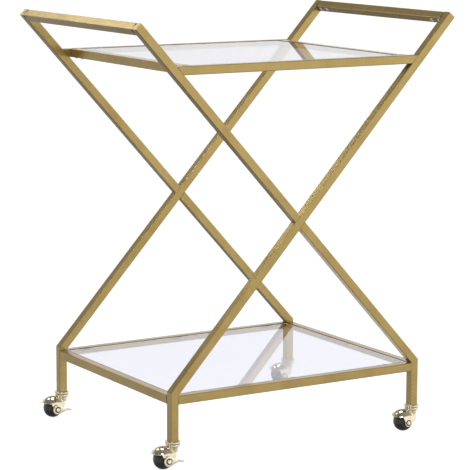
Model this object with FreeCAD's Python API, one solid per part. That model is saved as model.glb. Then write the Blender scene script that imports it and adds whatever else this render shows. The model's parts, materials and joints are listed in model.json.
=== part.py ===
"""Bar cart on wheels: two X-shaped square-tube frames, two glass shelves, four ball casters.

Millimetres, +Z up. The origin is on the floor under the middle of the cart. X runs along
the cart from the braked casters to the plain ones, and Y runs from the front frame to the
back frame.
"""
import FreeCAD, Part
import math
import os

Vector = FreeCAD.Vector
Rotation = FreeCAD.Rotation
Placement = FreeCAD.Placement

# Frame: overall sizes
FRAME_WIDTH = 545.0          # over the outer faces of the legs, along X
FRAME_DEPTH = 450.0          # over the outer faces of the two frames, along Y
LEG_LENGTH = 89.0            # underside of a leg to the outer corner of its mitre
DIAGONAL_ANGLE = 47.5        # degrees between a diagonal and the floor
DIAGONAL_LENGTH = 893.0      # along the upper edge, mitre to end
UPPER_RAIL_RISE = 581.0      # mitre corner to the top face of the upper rails
RAIL_BELOW_MITRE = 0.5       # lower rail top, below the inner corner of the mitre
SIDE_RAIL_INSET = 3.0        # upper side rail, in from the lower ends of the frame rail

# Square tube
TUBE = 16.0
TUBE_WALL = 1.2
TUBE_EDGE_R = 1.3
END_PLATE = 1.5              # plate that closes the upper end of a diagonal

# Spigots and their screws
JOINT_SEAM = 0.3             # gap between a cross bar and the frame it is screwed to
SPIGOT_FIT = 0.15            # clearance on each side of a spigot in its tube
SPIGOT_LENGTH = 44.0
SCREW_PLACES = (9.0, 32.0)   # from the end of the bar to its two screws
SCREW_R = 2.5
SCREW_FIT = 0.05             # radial clearance of a screw in its holes
SCREW_LENGTH = 9.0
SCREW_HEAD_R = 4.6
SCREW_HEAD_H = 2.4
SCREW_KEY_ACROSS = 3.0
SCREW_KEY_DEPTH = 1.4

# Glass shelves
GLASS_THICK = 5.0
GLASS_GAP = 1.5              # between the glass edge and the rails
GLASS_BELOW_RAIL = 0.8       # glass top, below the rail top
GLASS_CORNER_R = 3.0
GLASS_BEVEL = 0.6
BUMPER_R = 4.5
BUMPER_THICK = 1.6
TAB_LENGTH = 26.0
TAB_WIDTH = 14.0
TAB_THICK = 2.0
TAB_FROM_CORNER = 45.0       # inner corner of the rails to the middle of a tab

# Leg plugs
PLUG_FIT = 0.1
PLUG_LENGTH = 22.0
STEM_R = 4.0
STEM_FIT = 0.05
STEM_LENGTH = 16.0           # threaded length above the collar

# Casters
COLLAR_R = 14.2
COLLAR_THICK = 5.6
COLLAR_EDGE_R = 2.2
WASHER_R = 11.5
WASHER_THICK = 1.6
PINTLE_R = 3.6
PINTLE_FIT = 0.08
PINTLE_HEAD_R = 5.6
PINTLE_HEAD_H = 2.0
BEARING_GAP = 0.3
TRAIL = 20.0                 # swivel axis to wheel axis, along -X at rest
BALL_R = 18.5
BALL_FLAT = 15.2             # middle of the ball to each flattened side
HOOD_GAP = 3.4               # ball to the inside of the hood
HOOD_WALL = 2.2
HOOD_SIDE = 19.2             # middle of the ball to the outer face of an arm
ARM_FIT = 0.6                # ball side to the inside of an arm
HOOD_RIM_UP = 11.5           # rim of the hood above the wheel axis
ARM_END_R = 7.2
ARM_TOP_BACK = 13.0          # wheel axis to the arm's edge at the rim, away from the swivel
ARM_TOP_FRONT = 16.8         # and towards the swivel
ARM_BELLY = 14.4             # the fullest point of that edge
ARM_BELLY_UP = 2.6
ARM_LEAN = 20.0              # degrees that an arm's rounded end is turned
NECK_TOP_R = 10.5
NECK_TAPER = 1.5             # smaller radius at its foot
NECK_RISE = 0.2              # neck top above the crown of the hood
AXLE_R = 2.5
AXLE_FIT = 0.06
AXLE_HEAD_R = 4.2
AXLE_HEAD_H = 1.6
BUSH_R = 4.5
BUSH_FIT = 0.02
GROOVE_W = 1.0
GROOVE_DEPTH = 0.8
GROOVE_PLACE = 10.0

# Brake levers on the two casters at the -X end
LEVER_GAP = 0.5
LEVER_THICK = 2.6
LEVER_DISC_R = 9.6
LEVER_REACH = 31.0           # wheel axis to the toe of the lever
LEVER_BEAK = 17.5            # wheel axis to where the disc has narrowed to the tongue
LEVER_TOE_HALF = 1.5
LEVER_PAD_FROM = 22.0        # wheel axis to the foot pad
LEVER_PAD_IN = 5.0           # foot pad, in towards the swivel axis
LEVER_DROOP = 6.0            # degrees below level, brake off
LEVER_BORE_FIT = 0.1

# Worked out from the sizes above
BALL_Z = BALL_R
HOOD_IN_R = BALL_R + HOOD_GAP
HOOD_OUT_R = HOOD_IN_R + HOOD_WALL
NECK_FOOT = BALL_Z + HOOD_RIM_UP
NECK_TOP = BALL_Z + HOOD_OUT_R + NECK_RISE
COLLAR_BOTTOM = NECK_TOP + WASHER_THICK
CASTER_HEIGHT = COLLAR_BOTTOM + COLLAR_THICK
MITRE_HEIGHT = CASTER_HEIGHT + LEG_LENGTH
UPPER_RAIL_TOP = MITRE_HEIGHT + UPPER_RAIL_RISE
ANGLE = math.radians(DIAGONAL_ANGLE)
COS_A = math.cos(ANGLE)
SIN_A = math.sin(ANGLE)
HALF_W = FRAME_WIDTH / 2
HALF_D = FRAME_DEPTH / 2
INNER_Y = HALF_D - TUBE
MITRE_DROP = TUBE * (1 - SIN_A) / COS_A
LOWER_RAIL_TOP = MITRE_HEIGHT - MITRE_DROP - RAIL_BELOW_MITRE
TUBE_BORE = TUBE - 2 * TUBE_WALL
LEG_X = HALF_W - TUBE / 2
LEG_Y = HALF_D - TUBE / 2
UPPER_RAIL_HALF = (UPPER_RAIL_RISE - TUBE) / math.tan(ANGLE) - HALF_W
UPPER_SIDE_X = UPPER_RAIL_HALF - SIDE_RAIL_INSET - TUBE / 2
AXIS_START = Vector(-HALF_W + TUBE / 2 * SIN_A, 0, MITRE_HEIGHT - TUBE / 2 * COS_A)
AXIS_DIR = Vector(COS_A, 0, SIN_A)
HANDLE_AXIS = AXIS_START + AXIS_DIR * (DIAGONAL_LENGTH - TUBE / 2)
BIG = 4 * (FRAME_WIDTH + FRAME_DEPTH + DIAGONAL_LENGTH)

X_AXIS = Vector(1, 0, 0)
Y_AXIS = Vector(0, 1, 0)
Z_AXIS = Vector(0, 0, 1)


# ---------------------------------------------------------------- helpers

def save(name, shape):
    """Write one node to parts/NAME.step."""
    shape.exportStep("parts/" + name + ".step")


def mirrored_x(shape):
    """The same piece on the other end of the cart."""
    return shape.mirror(Vector(0, 0, 0), X_AXIS)


def moved(shape, offset):
    """A copy shifted by a vector."""
    copy = shape.copy()
    copy.translate(offset)
    return copy


def turned_about_y(shape, degrees, centre=Vector(0, 0, 0)):
    """A copy turned about a line parallel to Y; positive raises the +X end."""
    copy = shape.copy()
    copy.rotate(centre, Y_AXIS, -degrees)
    return copy


def centred_block(width_x, width_y, width_z, centre):
    """A box given by its sizes and its centre."""
    corner = centre - Vector(width_x / 2, width_y / 2, width_z / 2)
    return Part.makeBox(width_x, width_y, width_z, corner)


def beyond(point, normal):
    """The half space on the side of a plane that its normal points to."""
    block = Part.makeBox(BIG, BIG, BIG, Vector(-BIG / 2, -BIG / 2, 0))
    block.Placement = Placement(point, Rotation(Z_AXIS, normal))
    return block


def edges_along(shape, axis):
    """Straight edges of a shape parallel to an axis."""
    found = []
    for edge in shape.Edges:
        run = edge.lastVertex().Point - edge.firstVertex().Point
        if run.Length > 1e-6 and abs(abs(run.normalize().dot(axis)) - 1) < 1e-6:
            found.append(edge)
    return found


def bar_blank(length, side, edge_r):
    """Solid square bar along +X from the origin, its section centred on the axis."""
    bar = Part.makeBox(length, side, side, Vector(0, -side / 2, -side / 2))
    if edge_r > 0:
        bar = bar.makeFillet(edge_r, edges_along(bar, X_AXIS))
    return bar


def square_tube(length):
    """Square tube along +X from the origin."""
    bore = bar_blank(length, TUBE_BORE, 0)
    return bar_blank(length, TUBE, TUBE_EDGE_R).cut(bore)


def largest(shape):
    """The biggest solid of a cut."""
    return max(shape.Solids, key=lambda solid: solid.Volume)


# ---------------------------------------------------------------- frame tubes

def leg():
    """Left leg of a frame in the plane Y = 0, mitred at its top."""
    tube = turned_about_y(square_tube(MITRE_HEIGHT - CASTER_HEIGHT + TUBE), 90)
    tube.translate(Vector(-LEG_X, 0, CASTER_HEIGHT))
    corner = Vector(-HALF_W, 0, MITRE_HEIGHT)
    return tube.cut(beyond(corner, Vector(COS_A, 0, 1 + SIN_A)))


def diagonal_blank(outer_only=False):
    """Diagonal that rises to +X, over-long at its foot and cut square at its top."""
    length = DIAGONAL_LENGTH + TUBE
    bar = bar_blank(length, TUBE, 0) if outer_only else square_tube(length)
    bar.translate(Vector(-TUBE, 0, 0))
    bar = turned_about_y(bar, DIAGONAL_ANGLE)
    bar.translate(AXIS_START)
    return bar


def diagonal():
    """Full diagonal, mitred to the left leg."""
    corner = Vector(-HALF_W, 0, MITRE_HEIGHT)
    return diagonal_blank().cut(beyond(corner, Vector(-COS_A, 0, -1 - SIN_A)))


def diagonal_halves():
    """The opposite diagonal, cut in two where the full one runs through it."""
    pieces = mirrored_x(diagonal()).cut(diagonal_blank(outer_only=True)).Solids
    pieces.sort(key=lambda solid: solid.CenterOfMass.z)
    return pieces[0], pieces[-1]


def frame_lower_rail():
    """Rail between the two legs of a frame."""
    rail = square_tube(FRAME_WIDTH - 2 * TUBE)
    rail.translate(Vector(-HALF_W + TUBE, 0, LOWER_RAIL_TOP - TUBE / 2))
    return rail


def frame_upper_rail():
    """Rail between the upper faces of the two diagonals, its ends cut to their slope."""
    rail = square_tube(2 * FRAME_WIDTH)
    rail.translate(Vector(-FRAME_WIDTH, 0, UPPER_RAIL_TOP - TUBE / 2))
    face = AXIS_START + Vector(-SIN_A, 0, COS_A) * (TUBE / 2)
    rail = rail.cut(beyond(face, Vector(SIN_A, 0, -COS_A)))
    mirror_face = Vector(-face.x, 0, face.z)
    return rail.cut(beyond(mirror_face, Vector(-SIN_A, 0, -COS_A)))


def end_plate():
    """Plate let into the upper end of the full diagonal and ground flush."""
    plate = bar_blank(END_PLATE, TUBE_BORE, 0)
    plate.translate(Vector(DIAGONAL_LENGTH - END_PLATE, 0, 0))
    plate = turned_about_y(plate, DIAGONAL_ANGLE)
    plate.translate(AXIS_START)
    return plate


def build_frames():
    """The tubes of the front frame and of the back frame."""
    lower_half, upper_half = diagonal_halves()
    members = {
        "left_leg": leg(),
        "right_leg": mirrored_x(leg()),
        "full_diagonal": diagonal(),
        "lower_half_diagonal": lower_half,
        "upper_half_diagonal": upper_half,
        "lower_rail": frame_lower_rail(),
        "upper_rail": frame_upper_rail(),
    }
    for side, sign in (("front", -1), ("back", 1)):
        for name, shape in members.items():
            save(side + "_" + name, moved(shape, Vector(0, sign * LEG_Y, 0)))
    plates = []
    for sign in (-1, 1):
        for plate in (end_plate(), mirrored_x(end_plate())):
            plates.append(moved(plate, Vector(0, sign * LEG_Y, 0)))
    save("diagonal_end_plates", Part.makeCompound(plates))


# ---------------------------------------------------------------- cross bars

def bar_screw():
    """Button-head screw pointing up +Z, the seat of its head at the origin."""
    shank = Part.makeCylinder(SCREW_R, SCREW_LENGTH)
    crown_r = (SCREW_HEAD_R ** 2 + SCREW_HEAD_H ** 2) / (2 * SCREW_HEAD_H)
    crown = Part.makeSphere(crown_r, Vector(0, 0, crown_r - SCREW_HEAD_H))
    head = crown.common(Part.makeCylinder(SCREW_HEAD_R, SCREW_HEAD_H, Vector(0, 0, -SCREW_HEAD_H)))
    key_r = SCREW_KEY_ACROSS / math.sqrt(3)
    corners = []
    for step in range(7):
        turn = step * math.pi / 3
        corners.append(Vector(key_r * math.cos(turn), key_r * math.sin(turn), -SCREW_HEAD_H))
    key = Part.Face(Part.makePolygon(corners)).extrude(Vector(0, 0, SCREW_KEY_DEPTH))
    return shank.fuse(head).removeSplitter().cut(key)


def cross_bar():
    """Bar along Y, centred, with its screw holes in the underside."""
    length = FRAME_DEPTH - 2 * TUBE - 2 * JOINT_SEAM
    bar = square_tube(length)
    bar.translate(Vector(-length / 2, 0, 0))
    bar.rotate(Vector(0, 0, 0), Z_AXIS, 90)
    for place in screw_places():
        hole = Part.makeCylinder(SCREW_R + SCREW_FIT, TUBE / 2, Vector(0, place, -TUBE / 2))
        bar = bar.cut(hole)
    return bar


def screw_places():
    """Y of the screws in a cross bar."""
    end = INNER_Y - JOINT_SEAM
    places = []
    for place in SCREW_PLACES:
        places.extend((place - end, end - place))
    return places


def spigots():
    """The front and the back spigot of one cross bar, drilled for the screws."""
    side = TUBE_BORE - 2 * SPIGOT_FIT
    pair = []
    for sign in (-1, 1):
        middle = sign * (INNER_Y - SPIGOT_LENGTH / 2)
        block = centred_block(side, SPIGOT_LENGTH, side, Vector(0, middle, 0))
        for place in screw_places():
            hole = Part.makeCylinder(SCREW_R + SCREW_FIT, TUBE, Vector(0, place, -TUBE / 2))
            block = block.cut(hole)
        pair.append(block)
    return pair


def bar_screws():
    """The four screws of one cross bar."""
    return [moved(bar_screw(), Vector(0, place, -TUBE / 2)) for place in screw_places()]


def build_cross_bars():
    """Rails and handle bars with their spigots and screws."""
    lower = Vector(-LEG_X, 0, LOWER_RAIL_TOP - TUBE / 2)
    upper = Vector(-UPPER_SIDE_X, 0, UPPER_RAIL_TOP - TUBE / 2)
    handle = Vector(-HANDLE_AXIS.x, 0, HANDLE_AXIS.z)
    # A handle bar lies square to the diagonals, its screws on the side that faces the cart.
    bars = {
        "lower_left_rail": (lower, 0, False),
        "upper_left_rail": (upper, 0, False),
        "left_handle_bar": (handle, 90 - DIAGONAL_ANGLE, False),
        "lower_right_rail": (lower, 0, True),
        "upper_right_rail": (upper, 0, True),
        "right_handle_bar": (handle, 90 - DIAGONAL_ANGLE, True),
    }
    groups = {"front_frame_spigots": [], "back_frame_spigots": []}
    screws = {"rail_screws": [], "handle_screws": []}
    for name, (place, turn, mirror) in bars.items():
        shapes = [cross_bar()] + spigots() + bar_screws()
        shapes = [moved(turned_about_y(shape, turn), place) for shape in shapes]
        if mirror:
            shapes = [mirrored_x(shape) for shape in shapes]
        save(name, shapes[0])
        groups["front_frame_spigots"].append(shapes[1])
        groups["back_frame_spigots"].append(shapes[2])
        kind = "handle_screws" if "handle" in name else "rail_screws"
        screws[kind].extend(shapes[3:])
    for name, solids in list(groups.items()) + list(screws.items()):
        save(name, Part.makeCompound(solids))


# ---------------------------------------------------------------- shelves

def glass_shelf(half_x, half_y, top):
    """Glass sheet with rounded corners and eased edges."""
    size_x = 2 * (half_x - GLASS_GAP)
    size_y = 2 * (half_y - GLASS_GAP)
    sheet = centred_block(size_x, size_y, GLASS_THICK, Vector(0, 0, top - GLASS_THICK / 2))
    sheet = sheet.makeFillet(GLASS_CORNER_R, edges_along(sheet, Z_AXIS))
    rims = []
    for face in sheet.Faces:
        if abs(face.normalAt(0, 0).dot(Z_AXIS)) > 0.99:
            rims.extend(face.Edges)
    return sheet.makeChamfer(GLASS_BEVEL, rims)


def shelf_supports(half_x, half_y, glass_bottom):
    """Tabs welded inside the rails, and the bumpers on them."""
    tabs = []
    bumpers = []
    tab_top = glass_bottom - BUMPER_THICK
    across = half_x - TAB_FROM_CORNER
    for sign_y in (-1, 1):
        for place_x in (-across, 0, across):
            middle = Vector(place_x, sign_y * (half_y - TAB_WIDTH / 2), tab_top - TAB_THICK / 2)
            tabs.append(centred_block(TAB_LENGTH, TAB_WIDTH, TAB_THICK, middle))
            foot = Vector(middle.x, middle.y, tab_top)
            bumpers.append(Part.makeCylinder(BUMPER_R, BUMPER_THICK, foot))
    return tabs, bumpers


def build_shelves():
    """Both glass shelves with their tabs and bumpers."""
    levels = {
        "lower": (HALF_W - TUBE, LOWER_RAIL_TOP),
        "upper": (UPPER_SIDE_X - TUBE / 2, UPPER_RAIL_TOP),
    }
    for level, (half_x, rail_top) in levels.items():
        glass_top = rail_top - GLASS_BELOW_RAIL
        save(level + "_glass_shelf", glass_shelf(half_x, INNER_Y, glass_top))
        tabs, bumpers = shelf_supports(half_x, INNER_Y, glass_top - GLASS_THICK)
        save(level + "_shelf_tabs", Part.makeCompound(tabs))
        save(level + "_shelf_bumpers", Part.makeCompound(bumpers))


# ---------------------------------------------------------------- casters
# A caster is drawn with its swivel axis on Z and its wheel toward -X.

def leg_plug():
    """Threaded plug in the end of a leg."""
    side = TUBE_BORE - 2 * PLUG_FIT
    middle = Vector(0, 0, CASTER_HEIGHT + PLUG_LENGTH / 2)
    block = centred_block(side, side, PLUG_LENGTH, middle)
    thread = Part.makeCylinder(STEM_R + STEM_FIT, PLUG_LENGTH, Vector(0, 0, CASTER_HEIGHT))
    return block.cut(thread)


def caster_stem():
    """Threaded stud, flanged collar and pintle in one turned piece."""
    collar = Part.makeCylinder(COLLAR_R, COLLAR_THICK, Vector(0, 0, COLLAR_BOTTOM))
    rims = [edge for edge in collar.Edges if edge.Closed and abs(edge.Length) > COLLAR_R]
    collar = collar.makeFillet(COLLAR_EDGE_R, rims)
    stud = Part.makeCylinder(STEM_R, STEM_LENGTH, Vector(0, 0, CASTER_HEIGHT))
    head_foot = pintle_foot()
    pintle = Part.makeCylinder(PINTLE_R, COLLAR_BOTTOM - head_foot, Vector(0, 0, head_foot))
    head = Part.makeCylinder(PINTLE_HEAD_R, PINTLE_HEAD_H, Vector(0, 0, head_foot))
    return collar.fuse([stud, pintle, head]).removeSplitter()


def pintle_foot():
    """Height of the pintle's lower end, clear of the room for the ball."""
    across = TRAIL - PINTLE_HEAD_R - BEARING_GAP
    return BALL_Z + math.sqrt(HOOD_IN_R ** 2 - across ** 2) + BEARING_GAP


def neck_ledge():
    """Height of the ledge inside the neck that rests on the pintle head."""
    return pintle_foot() + PINTLE_HEAD_H + BEARING_GAP


def bearing_washer():
    """Thrust washer between the collar and the neck."""
    washer = Part.makeCylinder(WASHER_R, WASHER_THICK - BEARING_GAP, Vector(0, 0, NECK_TOP + BEARING_GAP))
    return washer.cut(Part.makeCylinder(PINTLE_R + PINTLE_FIT, CASTER_HEIGHT))


def arm_outline():
    """Side outline of an arm: wide under the hood, round about the axle."""
    top = HOOD_RIM_UP + HOOD_WALL
    left = Vector(-ARM_TOP_BACK, 0, top)
    right = Vector(ARM_TOP_FRONT, 0, top)
    lean = math.radians(ARM_LEAN)
    low_left = Vector(-ARM_END_R * math.cos(lean), 0, ARM_END_R * math.sin(lean))
    low_right = Vector(ARM_END_R * math.cos(lean), 0, -ARM_END_R * math.sin(lean))
    bottom = Vector(-ARM_END_R * math.sin(lean), 0, -ARM_END_R * math.cos(lean))
    belly = Vector(ARM_BELLY, 0, ARM_BELLY_UP)
    lines = [
        Part.makeLine(left, low_left),
        Part.Arc(low_left, bottom, low_right).toShape(),
        Part.Arc(low_right, belly, right).toShape(),
        Part.makeLine(right, left),
    ]
    return Part.Face(Part.Wire(lines))


def hood_shell():
    """Dome over the ball with flattened sides, its rim cut level."""
    centre = Vector(-TRAIL, 0, BALL_Z)
    dome = Part.makeSphere(HOOD_OUT_R, centre)
    slab = centred_block(BIG, 2 * HOOD_SIDE, BIG, centre)
    dome = dome.common(slab)
    return dome.cut(beyond(Vector(0, 0, NECK_FOOT), Vector(0, 0, -1)))


def hood_hollow():
    """Room for the ball: a dome with flat sides, open at the rim."""
    centre = Vector(-TRAIL, 0, BALL_Z)
    room = Part.makeSphere(HOOD_IN_R, centre)
    return room.common(centred_block(BIG, 2 * (BALL_FLAT + ARM_FIT), BIG, centre))


def caster_hood():
    """Swivelling body: neck, hood and two arms, cast in one piece."""
    body = hood_shell()
    arm_thick = HOOD_SIDE - BALL_FLAT - ARM_FIT
    for sign in (-1, 1):
        inner = sign * (BALL_FLAT + ARM_FIT)
        arm = arm_outline().extrude(Vector(0, sign * arm_thick, 0))
        arm.translate(Vector(-TRAIL, inner, BALL_Z))
        body = body.fuse(arm)
    neck_foot_r = NECK_TOP_R - NECK_TAPER
    neck = Part.makeCone(neck_foot_r, NECK_TOP_R, NECK_TOP - NECK_FOOT, Vector(0, 0, NECK_FOOT))
    body = body.fuse(neck)
    body = body.cut(hood_hollow())
    bore = Part.makeCylinder(PINTLE_R + PINTLE_FIT, CASTER_HEIGHT)
    pocket = Part.makeCylinder(PINTLE_HEAD_R + BEARING_GAP, neck_ledge())
    body = body.cut(bore).cut(pocket)
    ceiling = beyond(Vector(0, 0, NECK_TOP), Z_AXIS)
    body = body.cut(ceiling)
    axle_hole = Part.makeCylinder(AXLE_R, BIG, Vector(-TRAIL, -BIG / 2, BALL_Z), Y_AXIS)
    return largest(body.cut(axle_hole).removeSplitter())


def ball_wheel():
    """Ball tread with flattened sides, two shallow grooves and a bush seat."""
    ball = Part.makeSphere(BALL_R)
    ball = ball.common(centred_block(BIG, 2 * BALL_FLAT, BIG, Vector(0, 0, 0)))
    for sign in (-1, 1):
        middle = sign * GROOVE_PLACE
        rim_r = math.sqrt(BALL_R ** 2 - GROOVE_PLACE ** 2)
        foot = Vector(0, middle - GROOVE_W / 2, 0)
        ring = Part.makeCylinder(BALL_R, GROOVE_W, foot, Y_AXIS)
        ring = ring.cut(Part.makeCylinder(rim_r - GROOVE_DEPTH, GROOVE_W, foot, Y_AXIS))
        ball = ball.cut(ring)
    seat = Part.makeCylinder(BUSH_R + BUSH_FIT, BIG, Vector(0, -BIG / 2, 0), Y_AXIS)
    ball = ball.cut(seat)
    ball.translate(Vector(-TRAIL, 0, BALL_Z))
    return ball


def wheel_bush():
    """Plain bush pressed into the ball, turning on the axle."""
    foot = Vector(-TRAIL, -BALL_FLAT, BALL_Z)
    bush = Part.makeCylinder(BUSH_R, 2 * BALL_FLAT, foot, Y_AXIS)
    return bush.cut(Part.makeCylinder(AXLE_R + AXLE_FIT, 2 * BALL_FLAT, foot, Y_AXIS))


def wheel_axle(front_reach):
    """Axle riveted through both arms; front_reach is where its front head begins."""
    head = Part.makeCylinder(AXLE_HEAD_R, AXLE_HEAD_H, Vector(0, HOOD_SIDE, 0), Y_AXIS)
    rim = [edge for edge in head.Edges if edge.Closed and edge.CenterOfMass.y > HOOD_SIDE + 0.1]
    head = head.makeFillet(AXLE_HEAD_H * 0.8, rim)
    front_head = head.mirror(Vector(0, 0, 0), Y_AXIS)
    front_head.translate(Vector(0, HOOD_SIDE - front_reach, 0))
    shank = Part.makeCylinder(AXLE_R, HOOD_SIDE + front_reach, Vector(0, -front_reach, 0), Y_AXIS)
    axle = shank.fuse([head, front_head]).removeSplitter()
    axle.translate(Vector(-TRAIL, 0, BALL_Z))
    return axle


def brake_lever():
    """Side lever: a disc about the axle, a tongue and a foot pad that reaches under the neck."""
    toe = LEVER_REACH - LEVER_TOE_HALF
    lean = math.acos((LEVER_DISC_R - LEVER_TOE_HALF) / LEVER_BEAK)
    high = Vector(LEVER_DISC_R * math.cos(lean), 0, LEVER_DISC_R * math.sin(lean))
    low = Vector(high.x, 0, -high.z)
    beak_x = LEVER_BEAK + LEVER_TOE_HALF * math.cos(lean)
    beak_high = Vector(beak_x, 0, LEVER_TOE_HALF * math.sin(lean))
    beak_low = Vector(beak_x, 0, -beak_high.z)
    toe_high = Vector(toe, 0, LEVER_TOE_HALF)
    toe_low = Vector(toe, 0, -LEVER_TOE_HALF)
    lines = [
        Part.Arc(low, Vector(-LEVER_DISC_R, 0, 0), high).toShape(),
        Part.makeLine(high, beak_high),
        Part.makeLine(beak_high, toe_high),
        Part.Arc(toe_high, Vector(LEVER_REACH, 0, 0), toe_low).toShape(),
        Part.makeLine(toe_low, beak_low),
        Part.makeLine(beak_low, low),
    ]
    plate = Part.Face(Part.Wire(lines)).extrude(Vector(0, -LEVER_THICK, 0))
    pad_length = LEVER_REACH - LEVER_TOE_HALF - LEVER_PAD_FROM
    pad_middle = Vector(LEVER_PAD_FROM + pad_length / 2, (LEVER_PAD_IN - LEVER_THICK) / 2, 0)
    pad = centred_block(pad_length, LEVER_PAD_IN + LEVER_THICK, 2 * LEVER_TOE_HALF, pad_middle)
    plate = plate.fuse(pad).removeSplitter()
    bore = Part.makeCylinder(AXLE_R + LEVER_BORE_FIT, LEVER_THICK, Vector(0, -LEVER_THICK, 0), Y_AXIS)
    plate = turned_about_y(plate.cut(bore), -LEVER_DROOP)
    plate.translate(Vector(-TRAIL, -HOOD_SIDE - LEVER_GAP, BALL_Z))
    return plate


def build_casters():
    """Four casters, the two at the -X end with brakes."""
    plugs = []
    for side, sign_y in (("front", -1), ("back", 1)):
        for end, sign_x in (("left", -1), ("right", 1)):
            place = Vector(sign_x * LEG_X, sign_y * LEG_Y, 0)
            braked = end == "left"
            reach = HOOD_SIDE
            if braked:
                reach = HOOD_SIDE + 2 * LEVER_GAP + LEVER_THICK
            pieces = {
                "caster_stem": caster_stem(),
                "caster_washer": bearing_washer(),
                "caster_hood": caster_hood(),
                "ball_wheel": ball_wheel(),
                "wheel_bush": wheel_bush(),
                "wheel_axle": wheel_axle(reach),
            }
            if braked:
                pieces["brake_lever"] = brake_lever()
            for name, shape in pieces.items():
                save(side + "_" + end + "_" + name, moved(shape, place))
            plugs.append(moved(leg_plug(), place))
    save("leg_plugs", Part.makeCompound(plugs))


os.makedirs("parts", exist_ok=True)
build_frames()
build_cross_bars()
build_shelves()
build_casters()
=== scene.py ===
"""Bar cart on wheels: finishes, fine pieces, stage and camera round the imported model."""

import json
import logging
import math
from dataclasses import dataclass
from enum import Enum

import bmesh
import bpy
from mathutils import Matrix, Vector


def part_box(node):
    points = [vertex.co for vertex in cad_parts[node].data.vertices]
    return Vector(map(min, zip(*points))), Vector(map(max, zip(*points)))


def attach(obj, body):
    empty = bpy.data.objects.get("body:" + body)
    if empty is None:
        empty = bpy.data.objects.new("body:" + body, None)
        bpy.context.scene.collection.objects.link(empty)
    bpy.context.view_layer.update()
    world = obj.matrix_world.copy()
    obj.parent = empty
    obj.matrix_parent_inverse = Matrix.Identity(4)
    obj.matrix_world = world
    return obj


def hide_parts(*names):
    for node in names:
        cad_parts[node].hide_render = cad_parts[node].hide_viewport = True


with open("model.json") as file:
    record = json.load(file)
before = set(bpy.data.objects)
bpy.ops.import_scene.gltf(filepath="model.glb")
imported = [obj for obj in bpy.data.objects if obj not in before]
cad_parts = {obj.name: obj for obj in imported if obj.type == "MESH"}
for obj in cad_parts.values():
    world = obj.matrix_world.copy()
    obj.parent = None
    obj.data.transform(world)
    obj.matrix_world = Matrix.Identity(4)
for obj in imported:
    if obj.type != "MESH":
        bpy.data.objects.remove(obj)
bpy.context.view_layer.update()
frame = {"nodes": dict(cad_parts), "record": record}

LOG = logging.getLogger("bar_cart")
MM = 0.001
FULL_TURN = 2 * math.pi
RIGHT_ANGLE = math.pi / 2
WELD_GAP = 1e-6
X_AXIS = Vector((1, 0, 0))
Y_AXIS = Vector((0, 1, 0))
Z_AXIS = Vector((0, 0, 1))
RAMP_ENDS = (0.32, 0.68)

Triple = tuple[float, float, float]
Colour = Triple
Profile = tuple[tuple[float, float], ...]


class Side(Enum):
    """The two X frames, named by where they stand along Y."""

    FRONT = "front"
    BACK = "back"


class End(Enum):
    """The two ends of the cart along X; the left one has the brakes."""

    LEFT = "left"
    RIGHT = "right"


class Slot(Enum):
    """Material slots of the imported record."""

    GOLD = "frame_gold"
    GLASS = "shelf_glass"
    BRASS = "caster_brass"
    TREAD = "wheel_charcoal"
    SCREW = "screw_steel"
    RUBBER = "bumper_rubber"
    STEEL = "inner_steel"


# ---------------------------------------------------------------- shader helpers


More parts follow.
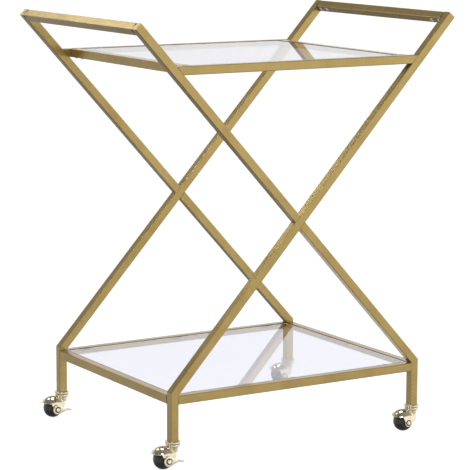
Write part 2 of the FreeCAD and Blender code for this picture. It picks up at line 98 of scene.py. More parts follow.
class Shader:
    """A material's node tree, with short calls that add and join its nodes."""

    def __init__(self, name: str) -> None:
        """Start a material that holds one principled shader.

        Args:
            name: name of the material.
        """
        self.material = bpy.data.materials.new(name)
        self.material.use_nodes = True
        self.tree = self.material.node_tree
        self.tree.nodes.clear()
        self.surface = self.add("ShaderNodeBsdfPrincipled")
        output = self.add("ShaderNodeOutputMaterial")
        self.link(self.surface.outputs["BSDF"], output.inputs["Surface"])

    def add(self, kind: str) -> bpy.types.Node:
        """Return a new node of this kind."""
        return self.tree.nodes.new(kind)

    def link(self, source: bpy.types.NodeSocket, target: bpy.types.NodeSocket) -> None:
        """Join an output to an input."""
        self.tree.links.new(source, target)

    def set(self, **values: object) -> None:
        """Set constant inputs of the principled shader.

        Args:
            values: input names with underscores for blanks, and their values.
        """
        for name, value in values.items():
            socket = self.surface.inputs[name.replace("_", " ")]
            socket.default_value = (*value, 1.0) if isinstance(value, tuple) else value

    def noise(self, scale: float, detail: float, stretch: Triple = (1.0, 1.0, 1.0)) -> bpy.types.NodeSocket:
        """Noise on the piece's own object coordinates.

        Args:
            scale: cells per metre.
            detail: octaves of finer noise.
            stretch: scale along each axis, to draw the noise out.

        Returns:
            The noise value from 0 to 1.
        """
        place = self.add("ShaderNodeTexCoord")
        mapping = self.add("ShaderNodeMapping")
        mapping.inputs["Scale"].default_value = stretch
        texture = self.add("ShaderNodeTexNoise")
        texture.inputs["Scale"].default_value = scale
        texture.inputs["Detail"].default_value = detail
        self.link(place.outputs["Object"], mapping.inputs["Vector"])
        self.link(mapping.outputs["Vector"], texture.inputs["Vector"])
        return texture.outputs["Fac"]

    def blend(self, amount: bpy.types.NodeSocket, low: Colour, high: Colour) -> bpy.types.NodeSocket:
        """Colour between two tones.

        Args:
            amount: noise value that chooses between them.
            low: tone where the noise is low.
            high: tone where the noise is high.

        Returns:
            The colour.
        """
        ramp = self.add("ShaderNodeValToRGB")
        first, last = ramp.color_ramp.elements
        first.position, last.position = RAMP_ENDS
        first.color = (*low, 1.0)
        last.color = (*high, 1.0)
        self.link(amount, ramp.inputs["Fac"])
        return ramp.outputs["Color"]

    def spread(self, amount: bpy.types.NodeSocket, low: float, high: float) -> bpy.types.NodeSocket:
        """Number between two values.

        Args:
            amount: noise value that chooses between them.
            low: value where the noise is low.
            high: value where the noise is high.

        Returns:
            The number.
        """
        span = self.add("ShaderNodeMapRange")
        span.inputs["From Min"].default_value, span.inputs["From Max"].default_value = RAMP_ENDS
        span.inputs["To Min"].default_value = low
        span.inputs["To Max"].default_value = high
        self.link(amount, span.inputs["Value"])
        return span.outputs["Result"]

    def bump(self, height: bpy.types.NodeSocket, strength: float, depth: float) -> None:
        """Give the surface a fine relief.

        Args:
            height: noise value of the relief.
            strength: how much of it shows, from 0 to 1.
            depth: height of the relief in metres.
        """
        relief = self.add("ShaderNodeBump")
        relief.inputs["Strength"].default_value = strength
        relief.inputs["Distance"].default_value = depth
        self.link(height, relief.inputs["Height"])
        self.link(relief.outputs["Normal"], self.surface.inputs["Normal"])


# ---------------------------------------------------------------- finishes


@dataclass(frozen=True)
class MottledFinish:
    """A finish whose tone, gloss and relief vary a little over the surface."""

    name: str
    low: Colour
    high: Colour
    metallic: float
    roughness: tuple[float, float]
    cloud_scale: float = 22.0
    grain_scale: float = 2600.0
    grain_stretch: Triple = (1.0, 1.0, 1.0)
    grain_strength: float = 0.06
    grain_depth: float = 0.00004
    coat: float = 0.0
    coat_roughness: float = 0.1
    specular_tint: Colour = (1.0, 1.0, 1.0)
    detail: float = 4.0

    def make(self) -> bpy.types.Material:
        """Build the material.

        Returns:
            The material, ready to put on a piece.
        """
        shader = Shader(self.name)
        clouds = shader.noise(self.cloud_scale, self.detail)
        grain = shader.noise(self.grain_scale, self.detail, self.grain_stretch)
        shader.link(shader.blend(clouds, self.low, self.high), shader.surface.inputs["Base Color"])
        shader.link(shader.spread(grain, *self.roughness), shader.surface.inputs["Roughness"])
        shader.bump(grain, self.grain_strength, self.grain_depth)
        shader.set(
            Metallic=self.metallic,
            Coat_Weight=self.coat,
            Coat_Roughness=self.coat_roughness,
            Specular_Tint=self.specular_tint,
        )
        return shader.material


@dataclass(frozen=True)
class ClearGlass:
    """Clear float glass with faint wiping marks in its gloss."""

    name: str = "clear_float_glass"
    tint: Colour = (0.82, 0.83, 0.92)
    roughness: tuple[float, float] = (0.0, 0.03)
    wipe_scale: float = 9.0
    wipe_stretch: Triple = (1.0, 3.0, 1.0)
    detail: float = 3.0
    refraction: float = 1.5

    def make(self) -> bpy.types.Material:
        """Build the material.

        Returns:
            The material, ready to put on a shelf.
        """
        shader = Shader(self.name)
        wipes = shader.noise(self.wipe_scale, self.detail, self.wipe_stretch)
        shader.link(shader.spread(wipes, *self.roughness), shader.surface.inputs["Roughness"])
        shader.set(Base_Color=self.tint, Transmission_Weight=1.0, IOR=self.refraction)
        return shader.material


SATIN_GOLD = MottledFinish(
    name="satin_gold_lacquer",
    low=(0.41, 0.290, 0.088),
    high=(0.49, 0.350, 0.114),
    metallic=0.85,
    roughness=(0.24, 0.32),
    grain_strength=0.03,
    coat=0.45,
    coat_roughness=0.07,
)
PLATED_BRASS = MottledFinish(
    name="polished_brass_plate",
    low=(0.88, 0.80, 0.57),
    high=(0.96, 0.90, 0.70),
    metallic=1.0,
    roughness=(0.05, 0.12),
    cloud_scale=90.0,
    grain_scale=1500.0,
    grain_strength=0.05,
)
CHARCOAL_TREAD = MottledFinish(
    name="charcoal_moulded_tread",
    low=(0.020, 0.018, 0.021),
    high=(0.038, 0.033, 0.036),
    metallic=0.0,
    roughness=(0.28, 0.42),
    cloud_scale=140.0,
    grain_scale=3400.0,
    grain_strength=0.2,
    coat=0.6,
    coat_roughness=0.08,
)
SCREW_PLATE = MottledFinish(
    name="bright_zinc_plate",
    low=(0.70, 0.70, 0.69),
    high=(0.86, 0.86, 0.85),
    metallic=1.0,
    roughness=(0.10, 0.24),
    cloud_scale=400.0,
    grain_scale=5000.0,
)
CLEAR_RUBBER = MottledFinish(
    name="clear_soft_pad",
    low=(0.62, 0.63, 0.64),
    high=(0.74, 0.75, 0.76),
    metallic=0.0,
    roughness=(0.35, 0.5),
    cloud_scale=300.0,
    grain_scale=2200.0,
)
PLAIN_STEEL = MottledFinish(
    name="plain_drawn_steel",
    low=(0.42, 0.42, 0.43),
    high=(0.56, 0.56, 0.57),
    metallic=1.0,
    roughness=(0.3, 0.5),
    cloud_scale=120.0,
    grain_stretch=(1.0, 0.05, 1.0),
)
FLOOR_PAPER = MottledFinish(
    name="pale_paper_floor",
    low=(0.19, 0.19, 0.19),
    high=(0.21, 0.21, 0.21),
    metallic=0.0,
    roughness=(0.85, 0.95),
    cloud_scale=3.0,
    grain_scale=900.0,
    grain_strength=0.02,
)


class Paints:
    """Every finish made once, by the slot that it belongs to."""

    def __init__(self) -> None:
        """Make the materials of all slots."""
        self.by_slot = {
            Slot.GOLD: SATIN_GOLD.make(),
            Slot.GLASS: ClearGlass().make(),
            Slot.BRASS: PLATED_BRASS.make(),
            Slot.TREAD: CHARCOAL_TREAD.make(),
            Slot.SCREW: SCREW_PLATE.make(),
            Slot.RUBBER: CLEAR_RUBBER.make(),
            Slot.STEEL: PLAIN_STEEL.make(),
        }

    def coat_nodes(self, *slots: Slot) -> None:
        """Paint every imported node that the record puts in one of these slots.

        Args:
            slots: the slots whose nodes are painted.
        """
        for row in frame["record"]["subparts"]:
            slot = Slot(row["material_slot"])
            if slot not in slots:
                continue
            target = frame["nodes"][row["node"]]
            if not target.material_slots:
                target.data.materials.append(None)
            for place in target.material_slots:
                place.material = self.by_slot[slot]

    def coat_piece(self, piece: bpy.types.Object, slot: Slot) -> None:
        """Paint a new piece with the finish of a slot.

        Args:
            piece: the new piece.
            slot: slot whose finish it gets.
        """
        piece.data.materials.clear()
        piece.data.materials.append(self.by_slot[slot])


# ---------------------------------------------------------------- modelling helpers


def begin(name: str) -> bpy.types.Object:
    """Name the primitive that was just added and open it in edit mode, all selected.

    Args:
        name: name of the piece.

    Returns:
        The piece.
    """
    piece = bpy.context.object
    piece.name = name
    piece.data.name = name
    bpy.ops.object.mode_set(mode="EDIT")
    bpy.ops.mesh.select_mode(type="VERT")
    bpy.ops.mesh.select_all(action="SELECT")
    return piece


def clear_selection() -> None:
    """Leave nothing selected, so that an operator acts only on what is made next."""
    if bpy.context.object and bpy.context.object.mode != "OBJECT":
        bpy.ops.object.mode_set(mode="OBJECT")
    bpy.ops.object.select_all(action="DESELECT")


def close(piece: bpy.types.Object) -> None:
    """Merge doubles, point the faces outwards, leave edit mode and settle the piece at the origin.

    Args:
        piece: the piece in edit mode.
    """
    bpy.ops.mesh.select_all(action="SELECT")
    bpy.ops.mesh.remove_doubles(threshold=WELD_GAP)
    bpy.ops.mesh.normals_make_consistent(inside=False)
    bpy.ops.object.mode_set(mode="OBJECT")
    bpy.ops.object.transform_apply(location=True, rotation=True, scale=True)


def round_edges(piece: bpy.types.Object, width: float, segments: int, limit: float) -> None:
    """Round the sharp edges of a piece with a bevel that is applied.

    Args:
        piece: the piece, selected and active.
        width: width of the rounding in metres.
        segments: faces across it.
        limit: edges sharper than this angle are rounded, in radians.
    """
    bevel = piece.modifiers.new("rounding", "BEVEL")
    bevel.width = width
    bevel.segments = segments
    bevel.limit_method = "ANGLE"
    bevel.angle_limit = limit
    bpy.ops.object.modifier_apply(modifier=bevel.name)


def smooth(piece: bpy.types.Object, limit: float) -> None:
    """Shade a piece smooth, apart from edges sharper than a limit.

    Args:
        piece: the piece.
        limit: angle in radians.
    """
    clear_selection()
    piece.select_set(True)
    bpy.context.view_layer.objects.active = piece
    bpy.ops.object.shade_smooth_by_angle(angle=limit)


def draw_line(points: list[Vector]) -> None:
    """Draw a line of edges through points, starting from the small plane that is selected.

    Args:
        points: corners of the line in order; a closed line ends on its first corner.
    """
    bpy.ops.mesh.merge(type="CENTER")
    bpy.ops.transform.translate(value=points[0])
    for start, end in zip(points, points[1:]):
        bpy.ops.mesh.extrude_region_move(TRANSFORM_OT_translate={"value": end - start})


def turned(name: str, profile: Profile, centre: Vector, axis: Vector, steps: int) -> bpy.types.Object:
    """A lathe-turned piece: its outline is drawn point by point and spun once round.

    Args:
        name: name of the piece.
        profile: outline as radius and height along the axis, in metres.
        centre: point on the axis that the heights start from.
        axis: direction of the axis, along Y or Z.
        steps: faces round the piece.

    Returns:
        The piece, at the origin.
    """
    clear_selection()
    points = [centre + X_AXIS * radius + axis * height for radius, height in profile]
    bpy.ops.mesh.primitive_plane_add(size=MM, location=(0, 0, 0))
    piece = begin(name)
    draw_line(points)
    bpy.ops.mesh.select_all(action="SELECT")
    bpy.ops.mesh.spin(steps=steps, angle=FULL_TURN, center=centre, axis=axis)
    close(piece)
    return piece


def round_bead(
    name: str, size: tuple[float, float], corner: float, corner_steps: int, radius: float, sides: int
) -> bpy.types.Object:
    """A round bead along a rectangle with rounded corners, lying flat about the origin.

    Args:
        name: name of the bead.
        size: length and width of the rectangle.
        corner: radius of its corners.
        corner_steps: edges round each corner.
        radius: radius of the bead.
        sides: how finely the bead's section is rounded.

    Returns:
        The bead.
    """
    clear_selection()
    bpy.ops.mesh.primitive_plane_add(size=1.0, location=(0, 0, 0))
    begin(name)
    bpy.ops.transform.resize(value=(*size, 1.0))
    bpy.ops.mesh.delete(type="ONLY_FACE")
    bpy.ops.mesh.select_all(action="SELECT")
    bpy.ops.mesh.bevel(offset=corner, segments=corner_steps, affect="VERTICES", offset_type="OFFSET")
    bpy.ops.object.mode_set(mode="OBJECT")
    bpy.ops.object.convert(target="CURVE")
    curve = bpy.context.object
    curve.data.bevel_depth = radius
    curve.data.bevel_resolution = sides
    bpy.ops.object.convert(target="MESH")
    return bpy.context.object


def copied(piece: bpy.types.Object, name: str, offset: Vector) -> bpy.types.Object:
    """A copy with its own mesh, its place kept in that mesh.

    Args:
        piece: the piece to copy.
        name: name of the copy.
        offset: how far the copy is moved.

    Returns:
        The copy.
    """
    copy = piece.copy()
    copy.data = piece.data.copy()
    copy.name = name
    copy.data.name = name
    copy.data.transform(Matrix.Translation(offset))
    bpy.context.scene.collection.objects.link(copy)
    return copy


def pick_faces(piece: bpy.types.Object, direction: Vector, least: float) -> None:
    """Select only the faces that look along a direction.

    Args:
        piece: the piece in edit mode.
        direction: unit direction.
        least: smallest cosine between a face's normal and the direction.
    """
    bpy.ops.mesh.select_mode(type="FACE")
    mesh = bmesh.from_edit_mesh(piece.data)
    for face in mesh.faces:
        face.select_set(face.normal.dot(direction) > least)
    bmesh.update_edit_mesh(piece.data)


def middle(node: str) -> Vector:
    """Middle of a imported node's box."""
    low, high = (Vector(corner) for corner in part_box(node))
    return (low + high) / 2


# ---------------------------------------------------------------- frame


@dataclass
class FrameWork:
    """The two X frames and the cross bars, with their weld seams and dark beads in the joint gaps as
    painted shade.
    """

    paints: Paints
    tube: float = 16 * MM
    bead_radius: float = 0.42 * MM
    bead_sink: float = 0.16 * MM
    corner_radius: float = 1.4 * MM
    corner_steps: int = 4
    bead_sides: int = 2
    diagonal_angle: float = math.radians(47.5)
    bead_smooth: float = math.radians(60)
    joint_gap: float = 0.3 * MM
    # Radius of the dark beads that are painted shade in the joint gaps.
    gap_shade_radius: float = 0.6 * MM

    def dress(self) -> None:
        """Paint the tubes and plates, the screws, and the plain steel inside tubes and wheels."""
        self.paints.coat_nodes(Slot.GOLD, Slot.SCREW, Slot.STEEL)

    def ring(
        self, name: str, height: float, radius: float, centre: Vector, turn: Matrix
    ) -> bpy.types.Object:
        """A round bead that follows the outside of a tube.

        Args:
            name: name of the bead.
            height: size of the tube's section across the frame.
            radius: radius of the bead.
            centre: middle of the joint.
            turn: turn of the section from the floor plane.

        Returns:
            The bead.
        """
        sink = 2 * self.bead_sink
        size = (height - sink, self.tube - sink)
        bead = round_bead(name, size, self.corner_radius, self.corner_steps, radius, self.bead_sides)
        bead.data.transform(Matrix.Translation(centre) @ turn)
        smooth(bead, self.bead_smooth)
        return bead

    def seam(self, name: str, centre: Vector, height: float, tilt: float) -> None:
        """One weld bead all round a tube.

        Args:
            name: name of the bead.
            centre: middle of the joint.
            height: size of the cut face across the frame.
            tilt: angle of the cut face about Y, in radians; zero is square to X.
        """
        turn = Matrix.Rotation(RIGHT_ANGLE + tilt, 4, "Y")
        bead = self.ring(name, height, self.bead_radius, centre, turn)
        self.paints.coat_piece(bead, Slot.GOLD)
        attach(bead, "frame")

    def gap_shade_lines(self) -> None:
        """Lay dark beads in the gaps between the cross bars and the frames, as painted shade for the shadow
        in those gaps.
        """
        handle_lean = RIGHT_ANGLE - self.diagonal_angle
        leans = {
            "lower_left_rail": 0.0,
            "lower_right_rail": 0.0,
            "upper_left_rail": 0.0,
            "upper_right_rail": 0.0,
            "left_handle_bar": handle_lean,
            "right_handle_bar": -handle_lean,
        }
        for bar, lean in leans.items():
            low, high = (Vector(corner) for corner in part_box(bar))
            across = middle(bar)
            turn = Matrix.Rotation(lean, 4, "Y") @ Matrix.Rotation(RIGHT_ANGLE, 4, "X")
            for side, level, way in ((Side.FRONT, low.y, -1), (Side.BACK, high.y, 1)):
                joint = Vector((across.x, level + way * self.joint_gap / 2, across.z))
                # Painted shade: a dark charcoal bead in each joint gap stands for the shadow there.
                line = self.ring(f"{side.value}_{bar}_gap_shade_line", self.tube, self.gap_shade_radius, joint, turn)
                self.paints.coat_piece(line, Slot.TREAD)
                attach(line, "frame")

    def cross_seams(self, side: Side) -> None:
        """Two weld beads where the half diagonals meet the full one.

        Args:
            side: the frame they are in.
        """
        below = Vector(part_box(f"{side.value}_lower_half_diagonal")[1])
        above = Vector(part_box(f"{side.value}_upper_half_diagonal")[0])
        cross = Vector((0.0, middle(f"{side.value}_full_diagonal").y, (below.z + above.z) / 2))
        lean = math.sin(2 * self.diagonal_angle)
        along = Vector((-math.cos(self.diagonal_angle), 0.0, math.sin(self.diagonal_angle)))
        for part, sign in (("upper", 1), ("lower", -1)):
            joint = cross + along * (sign * self.tube / 2 / lean)
            tilt = -self.diagonal_angle - RIGHT_ANGLE
            self.seam(f"{side.value}_{part}_cross_seam", joint, self.tube / lean, tilt)

    def build(self) -> None:
        """Lay the weld seams of both frames and the painted shade in the joint gaps of the cross bars."""
        for side in Side:
            level = middle(f"{side.value}_lower_rail")
            low, high = (Vector(corner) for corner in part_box(f"{side.value}_lower_rail"))
            for end, place in ((End.LEFT, low.x), (End.RIGHT, high.x)):
                joint = Vector((place, level.y, level.z))
                self.seam(f"{side.value}_{end.value}_rail_seam", joint, self.tube, 0.0)
            self.cross_seams(side)
        self.gap_shade_lines()


# ---------------------------------------------------------------- shelves


@dataclass
class GlassShelves:
    """The two glass sheets, each with a dark bead round it in the gap as painted shade."""

    paints: Paints
    gap: float = 1.5 * MM
    # Radius of the dark bead that is painted shade in the gap round each sheet.
    edge_shade: float = 0.7 * MM
    corner: float = 3.75 * MM
    corner_steps: int = 6
    edge_shade_sides: int = 3
    smooth_limit: float = math.radians(60)

    def build(self) -> None:
        """Lay a dark bead in the gap round each sheet, as painted shade for the shadow between glass and
        rail.
        """
        for level in ("upper", "lower"):
            low, high = (Vector(corner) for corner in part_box(f"{level}_glass_shelf"))
            size = (high.x - low.x + self.gap, high.y - low.y + self.gap)
            # Painted shade: a dark charcoal bead along the gap stands for the shadow between the glass and
            # the rail.
            name = f"{level}_shelf_edge_shade"
            edge_shade = round_bead(name, size, self.corner, self.corner_steps, self.edge_shade, self.edge_shade_sides)
            edge_shade.data.transform(Matrix.Translation(((low.x + high.x) / 2, (low.y + high.y) / 2, high.z)))
            smooth(edge_shade, self.smooth_limit)
            self.paints.coat_piece(edge_shade, Slot.TREAD)
            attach(edge_shade, "frame")

    def dress(self) -> None:
        """Paint the sheets and their pads, and let light through without a hard shadow."""
        self.paints.coat_nodes(Slot.GLASS, Slot.RUBBER)
        for level in ("upper", "lower"):
            sheet = frame["nodes"][f"{level}_glass_shelf"]
            sheet.visible_shadow = False


# ---------------------------------------------------------------- casters


@dataclass
class CasterSet:
    """Four hooded ball casters, modelled once at the front left and copied to the rest."""

    paints: Paints
    steps: int = 64
    smooth_limit: float = math.radians(38)
    ball_radius: float = 18.5 * MM
    ball_flat: float = 15.2 * MM
    groove_place: float = 10 * MM
    groove_half: float = 0.5 * MM
    groove_depth: float = 0.8 * MM
    bore: float = 4.52 * MM
    recess_inner: float = 2.0 * MM
    recess_outer: float = 4.7 * MM
    recess_slope: float = 0.3 * MM
    recess_depth: float = 0.5 * MM
    arc_steps: int = 40
    cup_profile: Profile = (
        (10.0, 39.4), (12.0, 39.4), (12.9, 39.8), (13.3, 40.6), (13.3, 43.2), (13.1, 43.8),
        (12.6, 44.05), (12.1, 43.8), (12.0, 42.95), (10.2, 42.95), (10.0, 39.4),
    )
    collar_profile: Profile = (
        (0.0, 66.0), (3.4, 66.0), (4.0, 65.4), (4.0, 50.0), (12.4, 50.0), (13.5, 49.7), (14.1, 49.0),
        (14.2, 48.2), (14.2, 47.4), (13.9, 47.1), (13.4, 47.0), (13.4, 46.6), (13.9, 46.5), (14.1, 46.1),
        (13.9, 45.2), (13.2, 44.6), (12.2, 44.4), (3.6, 44.4), (3.6, 37.56), (5.3, 37.56), (5.6, 37.3),
        (5.6, 35.9), (5.3, 35.56), (0.0, 35.56),
    )
    hood_radius: float = 21.18 * MM
    rim_height: float = 30.5 * MM
    rim_bead: float = 0.65 * MM
    rim_steps: int = 10
    side_face: float = 19.15 * MM
    neck_side: float = 9 * MM
    lever_face: float = 22.3 * MM
    washer_inner: float = 2.6 * MM
    washer_outer: float = 6.0 * MM
    washer_thick: float = 0.3 * MM
    washer_gap: float = 0.08 * MM

    def names(self) -> list[str]:
        """Prefixes of the four casters, led by the one that is modelled."""
        return [f"{side.value}_{end.value}" for end in End for side in Side]

    def axis_of(self, prefix: str) -> Vector:
        """Foot of a caster's swivel axis on the floor."""
        place = middle(f"{prefix}_caster_stem")
        return Vector((place.x, place.y, 0.0))

    def spread_out(self, piece: bpy.types.Object, part: str, slot: Slot, body: str, node: str) -> None:
        """Copy a piece of the first caster to the others, paint them and let them ride.

        Args:
            piece: the piece on the first caster.
            part: last part of the pieces' names.
            slot: slot that the finish comes from.
            body: last part of the body's name, or "frame".
            node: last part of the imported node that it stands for, or nothing.
        """
        first = self.names()[0]
        home = self.axis_of(first)
        for prefix in self.names():
            offset = self.axis_of(prefix) - home
            copy = piece if prefix == first else copied(piece, f"{prefix}_{part}", offset)
            self.paints.coat_piece(copy, slot)
            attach(copy, body if body == "frame" else f"{prefix}_{body}")
            if node:
                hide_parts(f"{prefix}_{node}")

    def scaled(self, profile: Profile) -> Profile:
        """A profile given in millimetres, in metres."""
        return tuple((radius * MM, height * MM) for radius, height in profile)

    def ball_profile(self) -> Profile:
        """Outline of half the ball's section: flat sides with a recess, grooves and bore.

        Returns:
            The closed outline as radius and height along the axle.
        """
        flat = -self.ball_flat
        floor = flat + self.recess_depth
        inner = self.bore + self.recess_inner
        outer = self.bore + self.recess_outer
        side = [(self.bore, flat), (inner, flat), (inner + self.recess_slope, floor)]
        side += [(outer - self.recess_slope, floor), (outer, flat)]
        limit = math.asin(self.ball_flat / self.ball_radius)
        tread = []
        for step in range(self.arc_steps + 1):
            angle = -limit + 2 * limit * step / self.arc_steps
            height = self.ball_radius * math.sin(angle)
            in_groove = abs(abs(height) - self.groove_place) <= self.groove_half
            depth = self.groove_depth if in_groove else 0.0
            tread.append(((self.ball_radius - depth) * math.cos(angle), height))
        far_side = [(radius, -height) for radius, height in reversed(side)]
        return tuple(side + tread + far_side + side[:1])

    def dress(self) -> None:
        """Paint the brass of the casters and the treads of the wheels."""
        self.paints.coat_nodes(Slot.BRASS, Slot.TREAD)

    def build_collar(self) -> None:
        """Turn the flanged collar with its stud and pintle."""
        first = self.names()[0]
        home = self.axis_of(first)
        collar = turned(f"{first}_collar", self.scaled(self.collar_profile), home, Z_AXIS, self.steps)
        smooth(collar, self.smooth_limit)
        self.spread_out(collar, "collar", Slot.BRASS, "frame", "caster_stem")

    def build_cup(self) -> None:
        """Turn the swivel cup under the collar."""
        first = self.names()[0]
        home = self.axis_of(first)
        cup = turned(f"{first}_swivel_cup", self.scaled(self.cup_profile), home, Z_AXIS, self.steps)
        smooth(cup, self.smooth_limit)
        self.spread_out(cup, "swivel_cup", Slot.BRASS, "swivel", "")

    def build_ball(self) -> None:
        """Turn the ball wheel with its grooves and side recesses."""
        first = self.names()[0]
        centre = middle(f"{first}_ball_wheel")
        ball = turned(f"{first}_tread", self.ball_profile(), centre, Y_AXIS, self.steps)
        smooth(ball, self.smooth_limit)
        self.spread_out(ball, "tread", Slot.TREAD, "wheel", "ball_wheel")

    def trim(self, point: Vector, normal: Vector) -> None:
        """Cut away what lies beyond a plane and close the cut.

        Args:
            point: point on the plane.
            normal: direction in which the cut part lies.
        """
        bpy.ops.mesh.select_all(action="SELECT")
        bpy.ops.mesh.bisect(plane_co=point, plane_no=normal, use_fill=True, clear_outer=True)

    def build_rim(self) -> None:
        """Roll the rim of the hood outwards, from one arm round to the other."""
        first = self.names()[0]
        centre = middle(f"{first}_ball_wheel")
        level = Vector((centre.x, centre.y, self.rim_height))
        turns = [FULL_TURN * step / self.rim_steps for step in range(self.rim_steps + 1)]
        bead = self.rim_bead
        ring = self.hood_radius - bead / 2
        section = tuple((ring + bead * math.cos(turn), bead * math.sin(turn)) for turn in turns)
        rim = turned(f"{first}_hood_rim", section, level, Z_AXIS, self.steps)
        clear_selection()
        rim.select_set(True)
        bpy.context.view_layer.objects.active = rim
        bpy.ops.object.mode_set(mode="EDIT")
        self.trim(level + X_AXIS * self.neck_side, X_AXIS)
        self.trim(level + Y_AXIS * self.side_face, Y_AXIS)
        self.trim(level - Y_AXIS * self.side_face, -Y_AXIS)
        close(rim)
        smooth(rim, self.smooth_limit)
        self.spread_out(rim, "hood_rim", Slot.BRASS, "swivel", "")

    def washer_places(self) -> dict[tuple[str, str], Vector]:
        """Where the dark washers lie, one at each end of every axle.

        Returns:
            For each caster and end of its axle, the foot of the washer.
        """
        places = {}
        for prefix in self.names():
            centre = middle(f"{prefix}_ball_wheel")
            braked = prefix.endswith(End.LEFT.value)
            front = self.lever_face + self.washer_gap if braked else self.side_face
            places[prefix, Side.FRONT.value] = centre - Y_AXIS * (front + self.washer_thick)
            places[prefix, Side.BACK.value] = centre + Y_AXIS * self.side_face
        return places

    def build_washers(self) -> None:
        """Turn one dark washer and copy it to both ends of every axle."""
        section = (
            (self.washer_inner, 0.0), (self.washer_outer, 0.0), (self.washer_outer, self.washer_thick),
            (self.washer_inner, self.washer_thick), (self.washer_inner, 0.0),
        )
        places = self.washer_places()
        home = places[self.names()[0], Side.FRONT.value]
        washer = turned(f"{self.names()[0]}_front_washer", section, home, Y_AXIS, self.steps)
        smooth(washer, self.smooth_limit)
        for (prefix, part), foot in places.items():
            name = f"{prefix}_{part}_washer"
            piece = washer if name == washer.name else copied(washer, name, foot - home)
            self.paints.coat_piece(piece, Slot.TREAD)
            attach(piece, f"{prefix}_swivel")

    def build(self) -> None:
        """Model every piece of the casters."""
        self.build_collar()
        self.build_cup()
        self.build_ball()
        self.build_rim()
        self.build_washers()


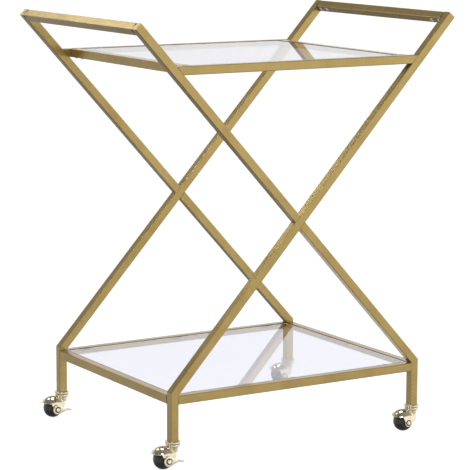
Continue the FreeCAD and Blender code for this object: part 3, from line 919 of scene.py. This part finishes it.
@dataclass
class BrakeLevers:
    """The two brake levers, modelled at the front and copied to the back.

    Each is a disc with a beak, a tongue and a foot pad.
    """

    paints: Paints
    droop: float = math.radians(6)
    disc: float = 9.6 * MM
    beak: float = 17.5 * MM
    reach: float = 31 * MM
    half: float = 1.5 * MM
    thick: float = 2.6 * MM
    back_face: float = 19.7 * MM
    bore: float = 2.6 * MM
    edge: float = 0.45 * MM
    edge_steps: int = 3
    sharp: float = math.radians(35)
    pad_from: float = 22 * MM
    pad_in: float = 5 * MM
    ring_inner: float = 6.6 * MM
    ring_outer: float = 8.0 * MM
    ring_rise: float = 0.3 * MM
    arc_steps: int = 42
    tip_steps: int = 6
    steps: int = 64
    facing: float = 0.9

    def prefix_of(self, side: Side) -> str:
        """Prefix of the braked caster on one side."""
        return f"{side.value}_{End.LEFT.value}"

    def at(self, centre: Vector, across: float, up: float, out: float) -> Vector:
        """Point on a drooping lever.

        Args:
            centre: middle of the wheel.
            across: distance from the axle towards the toe.
            up: distance above the lever's middle line.
            out: distance from the middle of the wheel towards the front.

        Returns:
            The point.
        """
        turn = Matrix.Rotation(self.droop, 3, "Y")
        return centre + turn @ Vector((across, 0.0, up)) - Y_AXIS * out

    def outline(self) -> list[tuple[float, float]]:
        """Outline of the lever: the disc, its beak and the round end of the tongue.

        Returns:
            Its corners in order, as distances across and up from the axle.
        """
        lean = math.acos((self.disc - self.half) / self.beak)
        span = FULL_TURN - 2 * lean
        turns = [lean + span * step / self.arc_steps for step in range(self.arc_steps + 1)]
        points = [(self.disc * math.cos(turn), self.disc * math.sin(turn)) for turn in turns]
        waist = (self.beak + self.half * math.cos(lean), self.half * math.sin(lean))
        toe = self.reach - self.half
        tip = [2 * RIGHT_ANGLE * step / self.tip_steps - RIGHT_ANGLE for step in range(self.tip_steps + 1)]
        points.append((waist[0], -waist[1]))
        points += [(toe + self.half * math.cos(turn), self.half * math.sin(turn)) for turn in tip]
        points.append(waist)
        return points

    def build_plate(self, centre: Vector) -> bpy.types.Object:
        """Cut the lever's plate, with its bore, and ease its edges.

        Args:
            centre: middle of the front wheel.

        Returns:
            The plate of the front lever.
        """
        clear_selection()
        outline = self.outline()
        turns = [math.atan2(up, across) for across, up in outline]
        bore = [(self.bore * math.cos(turn), self.bore * math.sin(turn)) for turn in turns]
        bpy.ops.mesh.primitive_plane_add(size=MM, location=(0, 0, 0))
        plate = begin(f"{self.prefix_of(Side.FRONT)}_lever_plate")
        draw_line([self.at(centre, *corner, self.back_face) for corner in outline + outline[:1]])
        bpy.ops.mesh.select_all(action="DESELECT")
        bpy.ops.mesh.primitive_plane_add(size=MM, location=(0, 0, 0))
        draw_line([self.at(centre, *corner, self.back_face) for corner in bore + bore[:1]])
        bpy.ops.mesh.select_all(action="SELECT")
        bpy.ops.mesh.remove_doubles(threshold=WELD_GAP)
        bpy.ops.mesh.bridge_edge_loops()
        bpy.ops.mesh.select_all(action="SELECT")
        bpy.ops.mesh.extrude_region_move(TRANSFORM_OT_translate={"value": -Y_AXIS * self.thick})
        close(plate)
        round_edges(plate, self.edge, self.edge_steps, self.sharp)
        smooth(plate, self.sharp)
        return plate

    def build_pad(self, centre: Vector) -> bpy.types.Object:
        """Shape the foot pad at the toe, with a shallow inset tread.

        Args:
            centre: middle of the front wheel.

        Returns:
            The pad of the front lever.
        """
        clear_selection()
        length = self.reach - self.half - self.pad_from
        depth = self.pad_in + self.thick - self.edge
        out = self.back_face + (self.thick - self.pad_in) / 2
        bpy.ops.mesh.primitive_cube_add(size=1.0, location=(0, 0, 0))
        pad = begin(f"{self.prefix_of(Side.FRONT)}_lever_pad")
        bpy.ops.transform.resize(value=(length, depth, 2 * self.half))
        pick_faces(pad, Z_AXIS, self.facing)
        bpy.ops.mesh.inset(thickness=2 * self.edge, depth=-self.edge / 2)
        pad.rotation_euler = (0, self.droop, 0)
        pad.location = self.at(centre, self.pad_from + length / 2, 0.0, out)
        close(pad)
        round_edges(pad, self.edge / 2, self.edge_steps, self.sharp)
        smooth(pad, self.sharp)
        return pad

    def build_ring(self, centre: Vector) -> bpy.types.Object:
        """Turn the raised ring on the disc.

        Args:
            centre: middle of the front wheel.

        Returns:
            The ring of the front lever.
        """
        sink = self.ring_rise
        section = (
            (self.ring_inner, -sink), (self.ring_inner, self.ring_rise / 2),
            (self.ring_inner + sink, self.ring_rise), (self.ring_outer - sink, self.ring_rise),
            (self.ring_outer, self.ring_rise / 2), (self.ring_outer, -sink), (self.ring_inner, -sink),
        )
        foot = self.at(centre, 0.0, 0.0, self.back_face + self.thick)
        ring = turned(f"{self.prefix_of(Side.FRONT)}_lever_ring", section, foot, -Y_AXIS, self.steps)
        smooth(ring, self.sharp)
        return ring

    def fit(self, pieces: dict[str, bpy.types.Object], side: Side) -> None:
        """Plate the pieces of one lever and let them ride on its brake.

        Args:
            pieces: the pieces by the last part of their names.
            side: the side the lever is on.
        """
        for piece in pieces.values():
            self.paints.coat_piece(piece, Slot.BRASS)
            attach(piece, f"{self.prefix_of(side)}_brake")
        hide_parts(f"{self.prefix_of(side)}_brake_lever")

    def build(self) -> None:
        """Model the front lever, copy it to the back and fit both."""
        centre = middle(f"{self.prefix_of(Side.FRONT)}_ball_wheel")
        offset = middle(f"{self.prefix_of(Side.BACK)}_ball_wheel") - centre
        back_prefix = self.prefix_of(Side.BACK)
        front = {
            "lever_plate": self.build_plate(centre),
            "lever_pad": self.build_pad(centre),
            "lever_ring": self.build_ring(centre),
        }
        back = {part: copied(piece, f"{back_prefix}_{part}", offset) for part, piece in front.items()}
        self.fit(front, Side.FRONT)
        self.fit(back, Side.BACK)


# ---------------------------------------------------------------- studio


@dataclass
class Softbox:
    """One rectangular soft light."""

    name: str
    place: Triple
    target: Triple
    size: tuple[float, float]
    power: float
    tone: Colour = (1.0, 1.0, 1.0)

    def build(self) -> None:
        """Hang the light and turn it to its target."""
        data = bpy.data.lights.new(self.name, "AREA")
        data.shape = "RECTANGLE"
        data.size, data.size_y = self.size
        data.energy = self.power
        data.color = self.tone
        lamp = bpy.data.objects.new(self.name, data)
        lamp.location = self.place
        aim = Vector(self.target) - Vector(self.place)
        lamp.rotation_euler = aim.to_track_quat("-Z", "Y").to_euler()
        bpy.context.scene.collection.objects.link(lamp)


@dataclass
class Studio:
    """Pale floor, soft light and the camera."""

    floor_size: float = 60.0
    floor_glow: float = 0.94
    camera_place: Triple = (-2.11686, -3.41696, 1.04645)
    yaw: float = math.radians(31.764)
    pitch: float = math.radians(-9.569)
    roll: float = math.radians(0.28)
    lens: float = 163.03
    sensor: float = 36.0
    room_left: float = 0.58
    room_right: float = 1.0
    room_reach: float = 0.6
    band_edges: tuple[float, float] = (0.25, 0.55)
    band_floor: float = 0.30
    sky_tone: Colour = (0.99, 0.982, 0.982)
    lights: tuple[Softbox, ...] = (
        Softbox("overhead", (0.3, 0.9, 3.0), (0.0, 0.0, 0.2), (1.2, 1.2), 26.0),
        Softbox("key", (7.0, -10.5, 0.9), (0.0, 0.0, 0.4), (5.0, 5.0), 22.0),
        Softbox("edge", (-1.5, -1.7, 2.7), (0.0, 0.0, 0.4), (0.5, 0.5), 15.0),
        Softbox("back_left", (-0.65, 1.45, 1.8), (-0.33, 0.0, 0.79), (0.4, 0.5), 3.0),
    )

    def lay_floor(self) -> None:
        """Lay the pale floor, which glows a little so that it stays white."""
        clear_selection()
        bpy.ops.mesh.primitive_plane_add(size=self.floor_size, location=(0, 0, 0))
        floor = bpy.context.object
        floor.name = "paper_floor"
        paper = FLOOR_PAPER.make()
        surface = paper.node_tree.nodes["Principled BSDF"]
        surface.inputs["Emission Color"].default_value = (1.0, 1.0, 1.0, 1.0)
        surface.inputs["Emission Strength"].default_value = self.floor_glow
        floor.data.materials.append(paper)
        floor.visible_diffuse = False
        floor.visible_glossy = False

    def light_sky(self) -> None:
        """Light the room: a bright band at eye level, brighter on the right, dim above and below."""
        world = bpy.data.worlds.new("white_room")
        bpy.context.scene.world = world
        world.use_nodes = True
        tree = world.node_tree
        tree.nodes.clear()
        place = tree.nodes.new("ShaderNodeTexCoord")
        parts = tree.nodes.new("ShaderNodeSeparateXYZ")
        across = tree.nodes.new("ShaderNodeMapRange")
        height = tree.nodes.new("ShaderNodeMath")
        band = tree.nodes.new("ShaderNodeMapRange")
        power = tree.nodes.new("ShaderNodeMath")
        room = tree.nodes.new("ShaderNodeBackground")
        output = tree.nodes.new("ShaderNodeOutputWorld")
        across.inputs["From Min"].default_value = -self.room_reach
        across.inputs["From Max"].default_value = self.room_reach
        across.inputs["To Min"].default_value = self.room_left
        across.inputs["To Max"].default_value = self.room_right
        height.operation = "ABSOLUTE"
        band.inputs["From Min"].default_value, band.inputs["From Max"].default_value = self.band_edges
        band.inputs["To Min"].default_value = 1.0
        band.inputs["To Max"].default_value = self.band_floor
        power.operation = "MULTIPLY"
        room.inputs["Color"].default_value = (*self.sky_tone, 1.0)
        links = tree.links
        links.new(place.outputs["Generated"], parts.inputs["Vector"])
        links.new(parts.outputs["X"], across.inputs["Value"])
        links.new(parts.outputs["Z"], height.inputs[0])
        links.new(height.outputs["Value"], band.inputs["Value"])
        links.new(across.outputs["Result"], power.inputs[0])
        links.new(band.outputs["Result"], power.inputs[1])
        links.new(power.outputs["Value"], room.inputs["Strength"])
        links.new(room.outputs["Background"], output.inputs["Surface"])

    def set_camera(self) -> None:
        """Place the camera and aim it."""
        data = bpy.data.cameras.new("camera")
        data.sensor_width = self.sensor
        data.lens = self.lens
        camera = bpy.data.objects.new("camera", data)
        turn = Matrix.Rotation(-self.yaw, 4, "Z") @ Matrix.Rotation(RIGHT_ANGLE + self.pitch, 4, "X")
        turn = turn @ Matrix.Rotation(self.roll, 4, "Z")
        camera.matrix_world = Matrix.Translation(self.camera_place) @ turn
        bpy.context.scene.collection.objects.link(camera)
        bpy.context.scene.camera = camera

    def build(self) -> None:
        """Set the stage."""
        bpy.context.scene.view_settings.view_transform = "Standard"
        self.lay_floor()
        self.light_sky()
        for light in self.lights:
            light.build()
        self.set_camera()


def main() -> None:
    """Build every sub-assembly in order."""
    logging.basicConfig(level=logging.INFO)
    Studio().build()
    paints = Paints()
    frame_work = FrameWork(paints)
    frame_work.dress()
    frame_work.build()
    shelves = GlassShelves(paints)
    shelves.dress()
    shelves.build()
    casters = CasterSet(paints)
    casters.dress()
    casters.build()
    BrakeLevers(paints).build()


if __name__ == "__main__":
    main()
